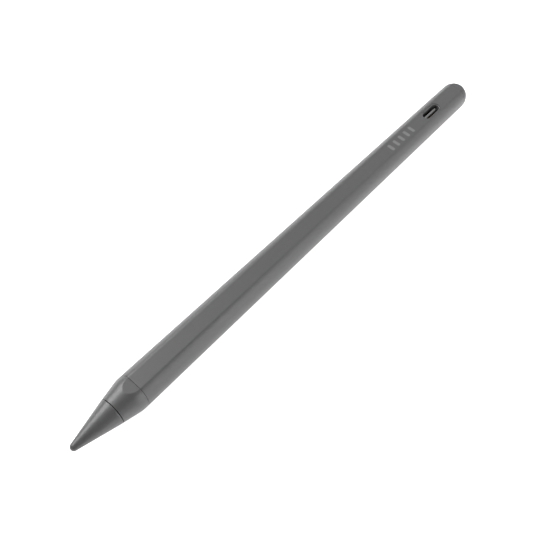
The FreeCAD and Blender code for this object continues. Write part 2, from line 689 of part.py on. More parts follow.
def build_nose_cone():
    """Conical collar with a spigot that fits inside the barrel. Its flat rises a little on the cone."""
    body = new_body("nose_cone")
    sketch = new_sketch(body, "XZ_Plane")
    edge = d.edge_break
    draw_polygon(sketch, [
        (d.nose_front_x, d.nose_mouth_radius), (d.nose_front_x, d.nose_front_radius - edge),
        (d.nose_front_x + edge, d.nose_front_radius),
        (d.cone_rear_x, d.barrel_radius), (d.nose_rear_x - edge, d.barrel_radius),
        (d.nose_rear_x, d.barrel_radius - edge), (d.nose_rear_x, d.spigot_radius),
        (d.spigot_rear_x, d.spigot_radius), (d.spigot_rear_x, d.spigot_bore_radius),
        (d.bush_rear_x, d.spigot_bore_radius), (d.bush_rear_x, d.bush_seat_radius),
        (d.bush_seat_x - d.seat_gap, d.bush_seat_radius),
        (d.bush_seat_x - d.seat_gap, d.nose_mouth_radius)])
    revolve(body, sketch)
    runout = new_sketch(body, "XZ_Plane", d.barrel_radius)
    draw_polygon(runout, [
        (d.runout_front_x, d.flat_height + d.runout_rise), (d.nose_rear_x, d.flat_height),
        (d.nose_rear_x, d.barrel_radius + d.cut_margin), (d.runout_front_x, d.barrel_radius + d.cut_margin)])
    pocket(body, runout, d.barrel_radius * 2)
    cut_top(body, d.nose_rear_x, d.spigot_rear_x + d.cut_margin, d.spigot_flat_height)
    return into_frame(body)


def build_barrel():
    """Long tube with a flat outside and inside, and the slot for the port."""
    body = new_body("barrel")
    front = d.nose_rear_x + d.seam_gap
    section = new_sketch(body, "YZ_Plane", front)
    draw_flatted_circle(section, d.barrel_radius, d.flat_height)
    draw_flatted_circle(section, d.bore_radius, d.bore_flat_height)
    pad(body, section, d.barrel_rear_x - front)
    slot = new_sketch(body, "XY_Plane", d.flat_height)
    draw_slot(slot, d.port_x, d.port_slot_length, d.port_slot_width)
    pocket(body, slot, d.port_slot_depth)

    def at_front_rim(edge):
        box = edge.BoundBox
        reach = max(abs(box.YMin), abs(box.YMax), abs(box.ZMin), abs(box.ZMax))
        return box.XMax < front.value + TOUCH and reach > d.bore_radius.value + d.edge_break.value

    def at_port_mouth(edge):
        box = edge.BoundBox
        near = abs(box.Center.x - d.port_x.value) < d.port_slot_length.value / 2 + d.edge_break.value
        return near and box.ZMin > d.flat_height.value - TOUCH and box.XLength < d.port_slot_length.value

    chamfer(body, d.edge_break, at_front_rim)
    chamfer(body, d.port_slot_chamfer, at_port_mouth)
    return into_frame(body)


def build_end_cap():
    """Domed cap with a spigot that fits inside the barrel."""
    body = new_body("end_cap")
    sketch = new_sketch(body, "XZ_Plane")
    front = d.barrel_rear_x + d.cap_gap
    dome_x = d.overall_length - d.barrel_radius
    end = d.overall_length
    up = FreeCAD.Vector(0, 0, 1)
    outer_circle = Part.Circle(vector(dome_x, 0), up, d.barrel_radius.value)
    inner_circle = Part.Circle(vector(dome_x, 0), up, d.cap_bore_radius.value)
    outer = sketch.addGeometry(Part.ArcOfCircle(outer_circle, 0, math.pi / 2), False)
    inner = sketch.addGeometry(Part.ArcOfCircle(inner_circle, 0, math.pi / 2), False)
    path = [
        (dome_x, d.barrel_radius), (front, d.barrel_radius), (front, d.spigot_radius),
        (d.cap_spigot_x, d.spigot_radius), (d.cap_spigot_x, d.cap_bore_radius), (dome_x, d.cap_bore_radius),
    ]
    first = sketch.GeometryCount
    for start, finish in zip(path, path[1:]):
        sketch.addGeometry(Part.LineSegment(vector(*start), vector(*finish)), False)
    last = sketch.GeometryCount - 1
    wall = sketch.addGeometry(Part.LineSegment(vector(dome_x + d.cap_bore_radius, 0), vector(end, 0)), False)
    for number in range(first, last):
        sketch.addConstraint(Sketcher.Constraint("Coincident", number, END, number + 1, START))
    for number, point in enumerate(path[:-1]):
        pin(sketch, first + number, START, *point)
    pin(sketch, last, END, *path[-1])
    sketch.addConstraint(Sketcher.Constraint("Coincident", outer, END, first, START))
    sketch.addConstraint(Sketcher.Constraint("Coincident", inner, END, last, END))
    sketch.addConstraint(Sketcher.Constraint("Coincident", inner, START, wall, START))
    sketch.addConstraint(Sketcher.Constraint("Coincident", outer, START, wall, END))
    for arc in (outer, inner):
        pin(sketch, arc, CENTRE, dome_x, ZERO)
    sketch.addConstraint(Sketcher.Constraint("PointOnObject", wall, START, ORIGIN_X))
    sketch.addConstraint(Sketcher.Constraint("PointOnObject", wall, END, ORIGIN_X))
    revolve(body, sketch)
    cut_top(body, front, end, d.flat_height)
    cut_top(body, d.cap_spigot_x - d.cut_margin, front, d.spigot_flat_height)
    return into_frame(body)


# Port

def build_usb_shell():
    """Steel shell of the port, open at the flat."""
    body = new_body("usb_shell")
    section = new_sketch(body, "XY_Plane", d.port_board_top + d.rest_gap)
    draw_slot(section, d.port_x, d.shell_length, d.shell_width)
    draw_slot(section, d.port_x, d.shell_length - d.shell_wall * 2, d.shell_width - d.shell_wall * 2)
    pad(body, section, d.shell_top - d.port_board_top - d.rest_gap)
    return into_frame(body)


def build_usb_tongue():
    """Tongue of the port on its foot."""
    body = new_body("usb_tongue")
    bottom = d.port_board_top + d.rest_gap
    foot = new_sketch(body, "XY_Plane", bottom)
    draw_slot(foot, d.port_x, d.tongue_foot_length, d.tongue_foot_width)
    pad(body, foot, d.tongue_foot_top - bottom)
    blade = new_sketch(body, "XY_Plane", bottom)
    half_blade = d.tongue_length / 2
    draw_rectangle(blade, d.port_x - half_blade, d.port_x + half_blade,
                   -d.tongue_thickness / 2, d.tongue_thickness / 2)
    pad(body, blade, d.tongue_top - bottom)
    return into_frame(body)


def box(x, y, z, length, width, height):
    """Block with its low corner at x, y, z in the pen's coordinates."""
    block = doc.addObject("Part::Box", "Block")
    bind(block, "Length", length)
    bind(block, "Width", width)
    bind(block, "Height", height)
    place(block, x, y, z)
    return block


def named_box(label, x, y, z, length, width, height):
    """Block that is a sub-part by itself."""
    block = box(x, y, z, length, width, height)
    block.Label = label
    return into_frame(block, x, y, z)


def group(label, pieces):
    """Keep several separate solids in one sub-part."""
    compound = doc.addObject("Part::Compound", "Group")
    compound.Links = pieces
    compound.Label = label
    return into_frame(compound)


def build_usb_contacts():
    """Contact strips on both sides of the tongue."""
    strips = []
    count = int(d.contact_count.value)
    height = d.contact_top - d.contact_bottom
    for side in (d.tongue_thickness / 2, -d.tongue_thickness / 2 - d.contact_thickness):
        for number in range(count):
            shift = d.contact_pitch * (number - (count - 1) / 2)
            x = d.port_x + shift - d.contact_width / 2
            strips.append(box(x, side, d.contact_bottom, d.contact_width, d.contact_thickness, height))
    return group("usb_contacts", strips)


def build_usb_board():
    """Small board under the port."""
    return named_box("usb_board", d.port_board_front_x, -d.port_board_width / 2, d.port_board_bottom,
                     d.port_board_rear_x - d.port_board_front_x, d.port_board_width,
                     d.port_board_top - d.port_board_bottom)


def build_rear_cradle():
    """Stamped trough that carries the port's board."""
    body = new_body("rear_cradle")
    section = new_sketch(body, "YZ_Plane", d.cradle_front_x)
    draw_circle(section, d.tray_radius)
    draw_circle(section, d.cradle_bore_radius)
    pad(body, section, d.cradle_rear_x - d.cradle_front_x)
    cut_top(body, d.cradle_front_x - d.cut_margin, d.cradle_rear_x + d.cut_margin, d.cradle_edge_height)
    return into_frame(body)


# Chassis, main board and battery

def build_chassis():
    """Moulded trough for the main board and the battery, with two screw bosses."""
    body = new_body("chassis")
    section = new_sketch(body, "YZ_Plane", d.chassis_front_x)
    draw_circle(section, d.tray_radius)
    draw_circle(section, d.chassis_bore_radius)
    pad(body, section, d.chassis_rear_x - d.chassis_front_x)
    cut_top(body, d.chassis_front_x - d.cut_margin, d.chassis_cell_x, d.chassis_edge_height)
    cut_top(body, d.chassis_cell_x - d.cut_margin, d.chassis_rear_x + d.cut_margin, d.chassis_grip_height)
    bosses = new_sketch(body, "XY_Plane", d.boss_bottom)
    holes = new_sketch(body, "XY_Plane", -d.board_thickness)
    for x in (d.front_screw_x, d.rear_screw_x):
        draw_circle(bosses, d.boss_radius, x)
        draw_circle(holes, d.screw_radius + d.fit_gap, x)
    pad(body, bosses, -d.board_thickness - d.rest_gap - d.boss_bottom)
    pocket(body, holes, -d.board_thickness - d.screw_hole_bottom)
    return into_frame(body)


def build_main_board():
    """Main circuit board with its two screw holes."""
    body = new_body("main_board")
    sketch = new_sketch(body, "XY_Plane", -d.board_thickness)
    draw_rectangle(sketch, d.board_front_x, d.board_rear_x, -d.board_width / 2, d.board_width / 2)
    for x in (d.front_screw_x, d.rear_screw_x):
        draw_circle(sketch, d.screw_radius + d.running_gap * 2, x)
    pad(body, sketch, d.board_thickness)
    return into_frame(body)


def build_board_screws():
    """Slotted screws that hold the main board to the chassis."""
    screws = []
    for x in (d.front_screw_x, d.rear_screw_x):
        shank = doc.addObject("Part::Cylinder", "Shank")
        bind(shank, "Radius", d.screw_radius)
        bind(shank, "Height", d.rest_gap - d.screw_tip)
        place(shank, x, ZERO, d.screw_tip)
        head = doc.addObject("Part::Cylinder", "Head")
        bind(head, "Radius", d.screw_head_radius)
        bind(head, "Height", d.screw_head_height)
        place(head, x, ZERO, d.rest_gap)
        solid = doc.addObject("Part::Fuse", "Screw")
        solid.Base = head
        solid.Tool = shank
        slot = box(x - d.screw_head_radius, -d.screw_slot_width / 2,
                   d.rest_gap + d.screw_head_height - d.screw_slot_depth,
                   d.screw_head_radius * 2, d.screw_slot_width, d.screw_slot_depth)
        screw = doc.addObject("Part::Cut", "SlottedScrew")
        screw.Base = solid
        screw.Tool = slot
        screws.append(screw)
    return group("board_screws", screws)


def component_height(height, on_top):
    """Return the low z of a component of this height on the top or bottom face of the main board."""
    if on_top:
        return d.rest_gap
    return -d.board_thickness - d.rest_gap - height


def build_board_component(name, x, y, length, width, height, on_top):
    """One component on the main board."""
    low = component_height(height, on_top)
    return named_box(name, as_size(x), as_size(y), low, as_size(length), as_size(width), as_size(height))


def build_board_capacitors():
    """Small passive parts in two rows."""
    length, width, height = CAPACITOR_SIZE
    chips = []
    for start, side, count in CAPACITOR_ROWS:
        for number in range(count):
            x = as_size(start + number * CAPACITOR_PITCH)
            low = component_height(height, True)
            chips.append(box(x, as_size(side), low, as_size(length), as_size(width), as_size(height)))
    return group("board_capacitors", chips)


def build_battery_cell():
    """Slim cell with a crimp near its front end."""
    front = d.cell_front_x
    rear = front + d.cell_length
    crimp_front = front + d.cell_crimp_x
    crimp_rear = crimp_front + d.cell_crimp_width
    body = turned("battery_cell", [
        (front, ZERO), (front, d.cell_radius), (crimp_front, d.cell_radius),
        (crimp_front, d.cell_radius - d.cell_crimp_depth), (crimp_rear, d.cell_radius - d.cell_crimp_depth),
        (crimp_rear, d.cell_radius), (rear, d.cell_radius), (rear, ZERO)])
    return into_frame(body, ZERO, ZERO, d.cell_axis_height)


def build_battery_pads():
    """Foam discs at both ends of the cell."""
    discs = []
    front = d.cell_front_x - d.foam_gap - d.foam_length
    rear = d.cell_front_x + d.cell_length + d.foam_gap
    for x in (front, rear):
        disc = doc.addObject("Part::Cylinder", "Disc")
        hole = doc.addObject("Part::Cylinder", "Hole")
        for cylinder, radius in ((disc, d.foam_radius), (hole, d.foam_hole_radius)):
            bind(cylinder, "Radius", radius)
            bind(cylinder, "Height", d.foam_length)
            cylinder.Placement = FreeCAD.Placement(FreeCAD.Vector(0, 0, 0),
                                                   FreeCAD.Rotation(FreeCAD.Vector(0, 1, 0), 90))
            place(cylinder, x, ZERO, d.cell_axis_height)
        washer = doc.addObject("Part::Cut", "Foam")
        washer.Base = disc
        washer.Tool = hole
        discs.append(washer)
    return group("battery_pads", discs)


def build_battery_board():
    """Protection board that stands across the front end of the cell."""
    return named_box("battery_board", d.cell_board_x, -d.cell_board_width / 2, d.cell_board_bottom,
                     d.board_thickness, d.cell_board_width, d.cell_board_top - d.cell_board_bottom)


# Wires and ribbons

def bent_path(points, bend, side=0.0):
    """Return one wire of straight runs along x and z, with a quarter turn at each corner."""
    corners = [FreeCAD.Vector(x.value, side, z.value) for x, z in points]
    edges = []
    start = corners[0]
    for before, corner, after in zip(corners, corners[1:], corners[2:]):
        into = (corner - before).normalize()
        out = (after - corner).normalize()
        turn_start = corner - into * bend
        turn_end = corner + out * bend
        middle = corner + (out - into) * bend * (1 - math.sqrt(0.5))
        edges.append(Part.LineSegment(start, turn_start).toShape())
        edges.append(Part.Arc(turn_start, middle, turn_end).toShape())
        start = turn_end
    edges.append(Part.LineSegment(start, corners[-1]).toShape())
    return Part.Wire(edges)


def as_feature(label, shape):
    """Add a finished shape to the document and put it in the part's frame."""
    feature = doc.addObject("Part::Feature", "Shape")
    feature.Label = label
    feature.Shape = shape
    return into_frame(feature)


def ribbon_shape(points):
    """Return a flat ribbon along a bent path."""
    half = d.ribbon_width.value / 2
    thick = d.ribbon_thickness.value / 2
    x, z = points[0]
    corners = [FreeCAD.Vector(x.value, side, z.value + rise) for side, rise in
               ((-half, -thick), (half, -thick), (half, thick), (-half, thick), (-half, -thick))]
    section = Part.makePolygon(corners)
    return bent_path(points, d.ribbon_bend.value).makePipeShell([section], True, False)


def build_sensor_ribbon():
    """Flexible circuit from the force sensor to the main board."""
    low = d.sensor_ribbon_height
    rise_x = d.sensor_ribbon_rise_x
    high = d.rest_gap + d.connector_entry_height
    start_x = d.backplate_front_x + d.rest_gap
    end_x = as_size(BOARD_COMPONENTS[0][1]) - d.running_gap
    return as_feature("sensor_ribbon", ribbon_shape([
        (start_x, low), (rise_x, low), (rise_x, high), (end_x, high)]))


def build_link_ribbon():
    """Flexible circuit from the main board over the battery to the port's board."""
    on_board = d.ribbon_thickness / 2 + d.rest_gap
    rise_x = d.board_rear_x + d.link_ribbon_rise
    over_cell = d.cell_axis_height + d.cell_radius + d.link_ribbon_clearance
    drop_x = d.chassis_rear_x + d.link_ribbon_drop
    on_port_board = d.port_board_top + on_board
    return as_feature("link_ribbon", ribbon_shape([
        (d.link_ribbon_front_x, on_board), (rise_x, on_board), (rise_x, over_cell), (drop_x, over_cell),
        (drop_x, on_port_board), (d.link_ribbon_rear_x, on_port_board)]))


def build_battery_leads():
    """Two insulated wires from the protection board to the main board."""
    low = d.lead_radius + d.rest_gap
    high = d.lead_entry_height
    points = [(d.lead_front_x, low), (d.lead_rise_x, low), (d.lead_rise_x, high),
              (d.cell_board_x - d.rest_gap, high)]
    leads = []
    for side in (-d.lead_side.value, d.lead_side.value):
        start = FreeCAD.Vector(d.lead_front_x.value, side, low.value)
        circle = Part.Wire(Part.makeCircle(d.lead_radius.value, start, FreeCAD.Vector(1, 0, 0)))
        leads.append(bent_path(points, d.lead_bend.value, side).makePipeShell([circle], True, True))
    return as_feature("battery_leads", Part.makeCompound(leads))


# Magnets

def build_magnet_holder(label, front, leg_bottom):
    """Open-topped holder with a pocket for the magnets and a leg at each end."""
    body = new_body(label)
    rear = front + d.holder_length
    middle = (front + rear) / 2
    block = new_sketch(body, "XY_Plane", d.holder_bottom)
    draw_rectangle(block, front, rear, -d.holder_width / 2, d.holder_width / 2)
    pad(body, block, d.holder_top - d.holder_bottom)
    recess = new_sketch(body, "XY_Plane", d.holder_top)
    half_length = d.holder_pocket_length / 2
    half_width = d.holder_pocket_width / 2
    draw_rectangle(recess, middle - half_length, middle + half_length, -half_width, half_width)
    pocket(body, recess, d.holder_top - d.magnet_bottom + d.rest_gap)
    legs = new_sketch(body, "XY_Plane", leg_bottom)
    for x in (front, rear - d.holder_leg_length):
        draw_rectangle(legs, x, x + d.holder_leg_length, -d.holder_leg_width / 2, d.holder_leg_width / 2)
    pad(body, legs, d.holder_bottom - leg_bottom)
    return into_frame(body)


def build_magnets(label, holder_front):
    """Row of block magnets in a holder."""
    middle = holder_front + d.holder_length / 2
    blocks = []
    count = int(d.magnet_count.value)
    for number in range(count):
        x = middle + d.magnet_pitch * (number - (count - 1) / 2) - d.magnet_length / 2
        blocks.append(box(x, -d.magnet_width / 2, d.magnet_bottom,
                          d.magnet_length, d.magnet_width, d.magnet_height))
    return group(label, blocks)


# End of the pen

def build_antenna():
    """Open ring of metal strip inside the end cap."""
    return build_ring_with_mouth("antenna", d.antenna_front_x, d.antenna_rear_x - d.antenna_front_x,
                                 d.antenna_radius - d.antenna_thickness, d.antenna_radius, d.antenna_mouth)


def build_spring_seat():
    """Disc that carries the touch spring, with a hole for its lead."""
    front = d.spring_seat_x
    rear = front + d.spring_seat_length
    inner = d.spring_seat_hole_radius
    outer = d.spring_seat_radius
    return turned("spring_seat", [(front, inner), (front, outer), (rear, outer), (rear, inner)])


def build_all():
    """Build every sub-part and return them."""
    parts = [
        build_nib(),
        build_nib_insert(),
        build_nib_electrode(),
        build_nib_seal(),
        build_force_shaft(),
        build_shaft_clip(),
        build_spring("return_spring", d.spring_front_x, d.spring_length, d.spring_radius,
                     d.spring_wire_radius, d.spring_turns),
        build_guide_bush(),
        build_tilt_ring(),
        build_disc("thrust_pad", d.pad_front_x, d.pad_length, d.pad_radius),
        build_disc("force_sensor", d.sensor_front_x, d.sensor_length, d.sensor_radius),
        build_sensor_carrier(),
        build_sensor_backplate(),
        build_sensor_ribbon(),
        build_nose_cone(),
        build_barrel(),
        build_end_cap(),
        build_usb_shell(),
        build_usb_tongue(),
        build_usb_contacts(),
        build_usb_board(),
        build_rear_cradle(),
        build_chassis(),
        build_main_board(),
        build_board_screws(),
        build_board_capacitors(),
        build_battery_cell(),
        build_battery_pads(),
        build_battery_board(),
        build_battery_leads(),
        build_link_ribbon(),
        build_magnet_holder("front_magnet_holder", d.front_holder_x, d.rest_gap),
        build_magnets("front_magnets", d.front_holder_x),
        build_magnet_holder("rear_magnet_holder", d.rear_holder_x, d.port_board_top + d.rest_gap),
        build_magnets("rear_magnets", d.rear_holder_x),
        build_antenna(),
        build_spring_seat(),
        build_spring("touch_spring", d.touch_spring_x, d.touch_spring_length, d.touch_spring_radius,
                     d.touch_spring_wire_radius, d.touch_spring_turns),
        build_disc("touch_plate", d.touch_plate_x, d.touch_plate_length, d.touch_plate_radius),
    ]
    for component in BOARD_COMPONENTS:
        parts.append(build_board_component(*component))
    return parts


def check(parts):
    """Stop if any object failed or any sub-part has no valid shape."""
    for item in doc.Objects:
        if "Invalid" in item.State or "Error" in item.State:
            raise RuntimeError(f"{item.Name} ({item.Label}) failed: {item.State}")
    for part in parts:
        if part.Shape.isNull() or not part.Shape.isValid():
            raise RuntimeError(f"{part.Label} has no valid shape")


fill_sheet()
subparts = build_all()
doc.recompute()
check(subparts)
os.makedirs("parts", exist_ok=True)
for subpart in subparts:
    subpart.Shape.exportStep(f"parts/{subpart.Label}.step")
print(f"{len(subparts)} sub-parts written")
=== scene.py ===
"""Looks of the tablet stylus: finished meshes and materials round the fixed CAD frame.

Lengths are in metres. The pen lies along X with its nib at low X, and its flat faces +Z.
"""
import json
import math

import bmesh
import bpy
from mathutils import Matrix, Vector


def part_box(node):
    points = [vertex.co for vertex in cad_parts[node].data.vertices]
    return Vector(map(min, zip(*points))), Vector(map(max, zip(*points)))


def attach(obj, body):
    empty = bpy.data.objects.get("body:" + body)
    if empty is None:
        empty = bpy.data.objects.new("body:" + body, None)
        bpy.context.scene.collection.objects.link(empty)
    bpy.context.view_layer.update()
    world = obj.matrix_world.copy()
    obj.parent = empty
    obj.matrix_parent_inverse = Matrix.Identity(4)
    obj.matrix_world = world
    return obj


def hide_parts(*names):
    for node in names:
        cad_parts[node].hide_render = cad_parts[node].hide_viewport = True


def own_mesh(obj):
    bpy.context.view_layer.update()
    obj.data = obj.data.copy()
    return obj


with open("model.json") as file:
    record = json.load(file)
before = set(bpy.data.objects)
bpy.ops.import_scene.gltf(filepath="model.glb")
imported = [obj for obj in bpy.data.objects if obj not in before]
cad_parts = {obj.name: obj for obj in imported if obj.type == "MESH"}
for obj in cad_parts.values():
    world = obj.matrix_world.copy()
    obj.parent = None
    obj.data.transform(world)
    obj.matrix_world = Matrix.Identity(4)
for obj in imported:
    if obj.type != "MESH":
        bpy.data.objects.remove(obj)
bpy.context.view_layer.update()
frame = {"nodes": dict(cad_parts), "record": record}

MM = 0.001

# Driving sizes, read from the frame
barrel_low, barrel_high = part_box("barrel")
nose_low, nose_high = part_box("nose_cone")
nib_low, nib_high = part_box("nib")
pad_low, pad_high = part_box("thrust_pad")
cap_low, cap_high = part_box("end_cap")
shell_low, shell_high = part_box("usb_shell")
tongue_low, tongue_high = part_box("usb_tongue")
shaft_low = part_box("force_shaft")[0]
RADIUS = 4.45 * MM
AXIS_Z = RADIUS
FLAT = barrel_high.z - AXIS_Z
BORE_RADIUS = 3.75 * MM
BORE_FLAT = 3.3 * MM
SPIGOT_RADIUS = 3.7 * MM
SPIGOT_FLAT = 3.25 * MM
PORT_X = (shell_low.x + shell_high.x) / 2

# Angles in degrees from the middle of the flat, where a section leaves the flat and where it is round again
OUTER_BREAKS = (22.4, 29.4)
INNER_BREAKS = (28.0, 29.0)
# Points of a section across the flat, on each edge and round the rest
BARREL_COUNTS = (12, 14, 150)
END_COUNTS = (150, 14, 150)
# How far the edges of the flat are softened
OUTER_BLEND = 0.12 * MM
INNER_BLEND = 0.01 * MM
# The nose's flat rises towards the front
RUNOUT_RISE = 0.25 * MM
RUNOUT_LENGTH = 3.51 * MM
RUNOUT_SLOPE = RUNOUT_RISE / RUNOUT_LENGTH
RUNOUT_BLEND = 0.04 * MM
SEAM_RIM = 0.04 * MM
AT_AXIS = 1e-7
STEEPEST_COSINE = 0.05


# Mesh building

def spread(low, high, count):
    """Return count values from low up to, but not including, high."""
    return [low + (high - low) * number / count for number in range(count)]


def section_angles(breaks, flat_steps, edge_steps, round_steps):
    """Return the angles of a section's points, in radians, closest where the flat meets the round."""
    inner, outer = breaks
    degrees = spread(-inner, inner, flat_steps)
    degrees += spread(inner, outer, edge_steps)
    degrees += spread(outer, 360 - outer, round_steps)
    degrees += spread(360 - outer, 360 - inner, edge_steps)
    return [math.radians(angle) for angle in degrees]


def outline_radius(radius, flat, angle, blend):
    """Distance from the axis to a flatted circle, with the flat's edge softened by blend."""
    cosine = math.cos(angle)
    if flat is None or cosine <= STEEPEST_COSINE:
        return radius
    cut = flat / cosine
    mix = min(1.0, max(0.0, 0.5 + 0.5 * (cut - radius) / blend))
    return cut * (1 - mix) + radius * mix - blend * mix * (1 - mix)


def axis_point(x, reach, angle):
    """Return the point at a distance from the axis, at an angle from the middle of the flat."""
    return Vector((x, -math.sin(angle) * reach, AXIS_Z + math.cos(angle) * reach))


def ring(x, radius, angles, flat=None, blend=OUTER_BLEND):
    """Return the points of one section across the pen, or one point on the axis."""
    if radius <= AT_AXIS:
        return [Vector((x, 0, AXIS_Z))]
    points = []
    for angle in angles:
        reach = outline_radius(radius, flat, angle, blend)
        points.append(axis_point(x, reach, angle))
    return points


def skin(bm, loops, closed=False, skip=None):
    """Join loops of points with faces. Loops of one point become poles. Return the loops as vertices."""
    rows = [[bm.verts.new(point) for point in loop] for loop in loops]
    pairs = list(zip(rows, rows[1:]))
    if closed:
        pairs.append((rows[-1], rows[0]))
    for row_number, (row, following) in enumerate(pairs):
        count = max(len(row), len(following))
        for number in range(count):
            if skip and skip(row_number, number):
                continue
            after = (number + 1) % count
            if len(row) == 1:
                corners = (row[0], following[after], following[number])
            elif len(following) == 1:
                corners = (row[number], row[after], following[0])
            else:
                corners = (row[number], row[after], following[after], following[number])
            bm.faces.new(corners)
    return rows


CREASE_ANGLE = 35


def finish_mesh(name, bm):
    """Turn a bmesh into an object with smooth faces and sharp creases."""
    loose = [vertex for vertex in bm.verts if not vertex.link_faces]
    bmesh.ops.delete(bm, geom=loose, context="VERTS")
    bmesh.ops.recalc_face_normals(bm, faces=bm.faces)
    mesh = bpy.data.meshes.new(name)
    bm.to_mesh(mesh)
    bm.free()
    for polygon in mesh.polygons:
        polygon.use_smooth = True
    mesh.set_sharp_from_angle(angle=math.radians(CREASE_ANGLE))
    piece = bpy.data.objects.new(name, mesh)
    bpy.context.scene.collection.objects.link(piece)
    return piece


def add_piece(name, bm, body, replaced, slot):
    """Finish a mesh in its slot's material, hang it on its body and hide the CAD part it replaces."""
    piece = finish_mesh(name, bm)
    piece.data.materials.append(MATERIALS[slot])
    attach(piece, body)
    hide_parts(replaced)
    return piece


# Materials

def new_material(name):
    """Return a material's node tree and its shader."""
    material = bpy.data.materials.new(name)
    material.use_nodes = True
    tree = material.node_tree
    return material, tree, tree.nodes["Principled BSDF"]


def object_noise(tree, scale, detail, stretch):
    """Noise fixed to the object, in cycles per metre."""
    place = tree.nodes.new("ShaderNodeTexCoord")
    mapping = tree.nodes.new("ShaderNodeMapping")
    mapping.inputs["Scale"].default_value = stretch
    noise = tree.nodes.new("ShaderNodeTexNoise")
    noise.inputs["Scale"].default_value = scale
    noise.inputs["Detail"].default_value = detail
    tree.links.new(place.outputs["Object"], mapping.inputs["Vector"])
    tree.links.new(mapping.outputs["Vector"], noise.inputs["Vector"])
    return noise.outputs["Fac"]


def ramp(tree, value, low, high, low_value, high_value):
    """Map a value to a range."""
    node = tree.nodes.new("ShaderNodeMapRange")
    node.inputs["From Min"].default_value = low
    node.inputs["From Max"].default_value = high
    node.inputs["To Min"].default_value = low_value
    node.inputs["To Max"].default_value = high_value
    tree.links.new(value, node.inputs["Value"])
    return node.outputs["Result"]


def tint(tree, value, dark, light):
    """Mix two colours by a value."""
    mix = tree.nodes.new("ShaderNodeMix")
    mix.data_type = "RGBA"
    mix.inputs["A"].default_value = (*dark, 1)
    mix.inputs["B"].default_value = (*light, 1)
    tree.links.new(value, mix.inputs["Factor"])
    return mix.outputs["Result"]


def shade(colour, factor):
    """Scale a colour."""
    return tuple(channel * factor for channel in colour)


ROUGHNESS_SPREAD = 0.05


def surface(name, colour, roughness, metallic=0.0, grain=60000, grain_depth=0.0006 * MM, variation=0.06,
            stretch=(1, 1, 1)):
    """Fine grain in the bump, with soft mottling in the colour and the roughness."""
    material, tree, shader = new_material(name)
    shader.inputs["Metallic"].default_value = metallic
    mottle = object_noise(tree, 900, 3.0, stretch)
    tree.links.new(tint(tree, mottle, shade(colour, 1 - variation), shade(colour, 1 + variation)),
                   shader.inputs["Base Color"])
    patches = object_noise(tree, 2500, 5.0, stretch)
    smoothest, roughest = roughness - ROUGHNESS_SPREAD, roughness + ROUGHNESS_SPREAD
    tree.links.new(ramp(tree, patches, 0.3, 0.7, smoothest, roughest), shader.inputs["Roughness"])
    bump = tree.nodes.new("ShaderNodeBump")
    bump.inputs["Distance"].default_value = grain_depth
    bump.inputs["Strength"].default_value = 1.0
    tree.links.new(object_noise(tree, grain, 2.0, stretch), bump.inputs["Height"])
    tree.links.new(bump.outputs["Normal"], shader.inputs["Normal"])
    return material


CASING_GREY = (0.086, 0.086, 0.087)
FINISHES = {
    "nib_plastic": dict(colour=CASING_GREY, roughness=0.36),
    "nose_plastic": dict(colour=CASING_GREY, roughness=0.36),
    "barrel_metal": dict(colour=CASING_GREY, roughness=0.4, grain=45000, grain_depth=0.001 * MM),
    "cap_plastic": dict(colour=CASING_GREY, roughness=0.38),
    "port_steel": dict(colour=(0.26, 0.26, 0.263), roughness=0.6, metallic=1.0, stretch=(1, 1, 8)),
    # port_plastic: a mid grey, lighter than the tongue's own black plastic; this is painted light standing
    # in for light that barely reaches into the port
    "port_plastic": dict(colour=(0.17, 0.17, 0.17), roughness=0.6),
    "contact_gold": dict(colour=(0.83, 0.6, 0.25), roughness=0.25, metallic=1.0),
    "circuit_board": dict(colour=(0.015, 0.09, 0.04), roughness=0.35, variation=0.15),
    "spring_steel": dict(colour=(0.5, 0.5, 0.51), roughness=0.3, metallic=1.0),
    "screw_steel": dict(colour=(0.45, 0.45, 0.46), roughness=0.35, metallic=1.0),
    "shaft_steel": dict(colour=(0.55, 0.55, 0.56), roughness=0.3, metallic=1.0, stretch=(20, 1, 1)),
    "chassis_plastic": dict(colour=(0.03, 0.03, 0.031), roughness=0.5),
    "capacitor_ceramic": dict(colour=(0.4, 0.28, 0.17), roughness=0.5),
    "cell_can": dict(colour=(0.65, 0.65, 0.67), roughness=0.32, metallic=1.0, stretch=(0.2, 1, 1)),
    "foam": dict(colour=(0.04, 0.04, 0.04), roughness=0.9, grain=8000, grain_depth=0.03 * MM),
    "lead_insulation": dict(colour=(0.45, 0.02, 0.02), roughness=0.45),
    "ribbon_film": dict(colour=(0.5, 0.22, 0.04), roughness=0.3),
    "magnet_nickel": dict(colour=(0.62, 0.6, 0.56), roughness=0.2, metallic=1.0),
    "bush_brass": dict(colour=(0.75, 0.55, 0.25), roughness=0.3, metallic=1.0),
    "silicone": dict(colour=(0.55, 0.55, 0.55), roughness=0.5),
    "sensor_body": dict(colour=(0.1, 0.1, 0.105), roughness=0.3),
    "connector_plastic": dict(colour=(0.7, 0.67, 0.58), roughness=0.45),
    "chip_resin": dict(colour=(0.02, 0.02, 0.022), roughness=0.55),
    "inductor_core": dict(colour=(0.06, 0.06, 0.065), roughness=0.6),
    "crystal_can": dict(colour=(0.65, 0.65, 0.65), roughness=0.25, metallic=1.0),
    "seal_rubber": dict(colour=(0.015, 0.015, 0.015), roughness=0.6),
    "mark_ink": dict(colour=(0.17, 0.17, 0.171), roughness=0.45),
}
MATERIALS = {name: surface(name, **finish) for name, finish in FINISHES.items()}


def dress_cad_nodes():
    """Give every CAD node the material of its slot."""
    for entry in frame["record"]["subparts"]:
        node = frame["nodes"][entry["node"]]
        material = MATERIALS[entry["material_slot"]]
        for place in node.material_slots:
            place.material = material


# Nib, nose and cap

ROUND_ANGLES = [math.radians(angle) for angle in spread(0, 360, 160)]


